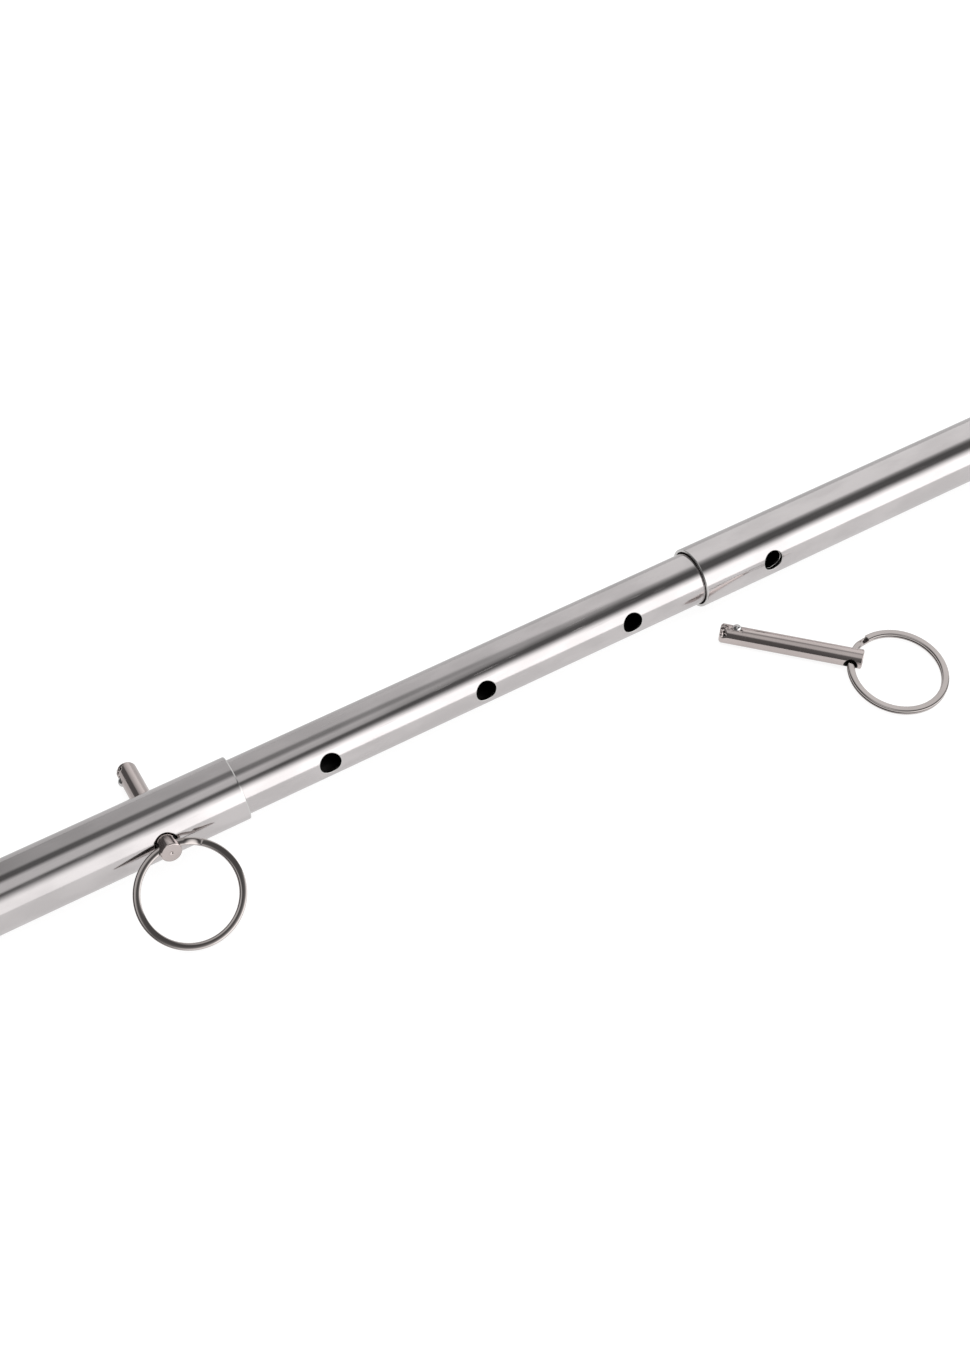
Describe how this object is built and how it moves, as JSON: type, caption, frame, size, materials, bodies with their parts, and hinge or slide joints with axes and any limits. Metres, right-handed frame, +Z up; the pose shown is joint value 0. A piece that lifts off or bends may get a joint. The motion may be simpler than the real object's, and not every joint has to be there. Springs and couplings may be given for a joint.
{
  "type": "spreader bar",
  "caption": "Telescopic tubular spreader bar: an inner tube with pin holes joins two outer tubes, locked by ball-detent pins with pull rings; swivel eyes with rings at the ends.",
  "frame": {"origin": "bottom centre of the whole object's box, on the surface it lies on", "axes": "+X along the bar towards the free outer tube, +Y away from the pull rings, +Z up"},
  "size_m": [0.8756, 0.1327, 0.032],
  "materials": {
    "outer_tube_steel": "bright polished stainless tube with fine lengthwise lines",
    "inner_tube_steel": "bright polished stainless tube with slide marks",
    "pin_steel": "turned and polished steel, slightly warm",
    "ball_steel": "hard polished ball",
    "spring_wire": "drawn spring wire",
    "ring_wire": "nickel plated flat wire",
    "end_steel": "turned stainless, satin",
    "end_ring_steel": "polished round bar, welded",
    "fastener_steel": "plain stainless"
  },
  "bodies": {
    "bar": {"left_outer_tube": "outer_tube_steel", "inner_tube": "inner_tube_steel", "left_end_plug": "end_steel", "left_top_rivet": "fastener_steel", "left_bottom_rivet": "fastener_steel", "left_thrust_washer": "fastener_steel", "left_inner_washer": "fastener_steel"},
    "right_tube": {"right_outer_tube": "outer_tube_steel", "right_end_plug": "end_steel", "right_top_rivet": "fastener_steel", "right_bottom_rivet": "fastener_steel", "right_thrust_washer": "fastener_steel", "right_inner_washer": "fastener_steel"},
    "left_pin": {"left_pin": "pin_steel", "left_detent_spring": "spring_wire"},
    "left_ball": {"left_detent_ball": "ball_steel"},
    "left_ring": {"left_split_ring": "ring_wire"},
    "loose_pin": {"loose_pin": "pin_steel", "loose_detent_spring": "spring_wire"},
    "loose_ball": {"loose_detent_ball": "ball_steel"},
    "loose_ring": {"loose_split_ring": "ring_wire"},
    "left_swivel": {"left_swivel_eye": "end_steel", "left_lock_nut": "fastener_steel"},
    "left_end_ring": {"left_end_ring": "end_ring_steel"},
    "right_swivel": {"right_swivel_eye": "end_steel", "right_lock_nut": "fastener_steel"},
    "right_end_ring": {"right_end_ring": "end_ring_steel"}
  },
  "joints": [
    {"name": "right_tube_slide", "type": "slide", "parent": "bar", "child": "right_tube", "axis": [1, 0, 0], "range_m": [-0.198, 0.036]},
    {"name": "left_pin_pull", "type": "slide", "parent": "bar", "child": "left_pin", "axis": [0, -0.9511, 0.309], "range_m": [0, 0.06], "deforming": ["left_detent_ball"]},
    {"name": "left_ball_press", "type": "slide", "parent": "left_pin", "child": "left_ball", "axis": [1, 0, 0], "range_m": [0, 0.001], "stiffness_N_per_m": 400, "springref_m": -0.001, "deforming": ["left_detent_spring"]},
    {"name": "left_ring_swing", "type": "hinge", "parent": "left_pin", "child": "left_ring", "pos_m": [-0.134, 0.01435, 0.0204], "axis": [1, 0, 0], "range_deg": [-141, 48]},
    {"name": "loose_pin_lift", "type": "slide", "parent": "bar", "child": "loose_pin", "axis": [0, 0, 1], "range_m": [0, 0.15]},
    {"name": "loose_ball_press", "type": "slide", "parent": "loose_pin", "child": "loose_ball", "axis": [-0.2498, -0.2569, -0.9336], "range_m": [0, 0.001], "stiffness_N_per_m": 400, "springref_m": -0.001, "deforming": ["loose_detent_spring"]},
    {"name": "loose_ring_swing", "type": "hinge", "parent": "loose_pin", "child": "loose_ring", "pos_m": [0.14073, -0.03167, 0.004], "axis": [0.6933, 0.713, 0.1045], "range_deg": [-160, 155]},
    {"name": "left_swivel_turn", "type": "hinge", "parent": "bar", "child": "left_swivel", "pos_m": [-0.4031, 0.0279, 0.016], "axis": [-1, 0, 0], "continuous": true},
    {"name": "left_end_ring_swing", "type": "hinge", "parent": "left_swivel", "child": "left_end_ring", "pos_m": [-0.4031, 0.0279, 0.016], "axis": [0, -1, 0], "range_deg": [-140, 95]},
    {"name": "right_swivel_turn", "type": "hinge", "parent": "right_tube", "child": "right_swivel", "pos_m": [0.4031, 0.0279, 0.016], "axis": [1, 0, 0], "continuous": true},
    {"name": "right_end_ring_swing", "type": "hinge", "parent": "right_swivel", "child": "right_end_ring", "pos_m": [0.4031, 0.0279, 0.016], "axis": [0, 1, 0], "range_deg": [-140, 95]}
  ]
}
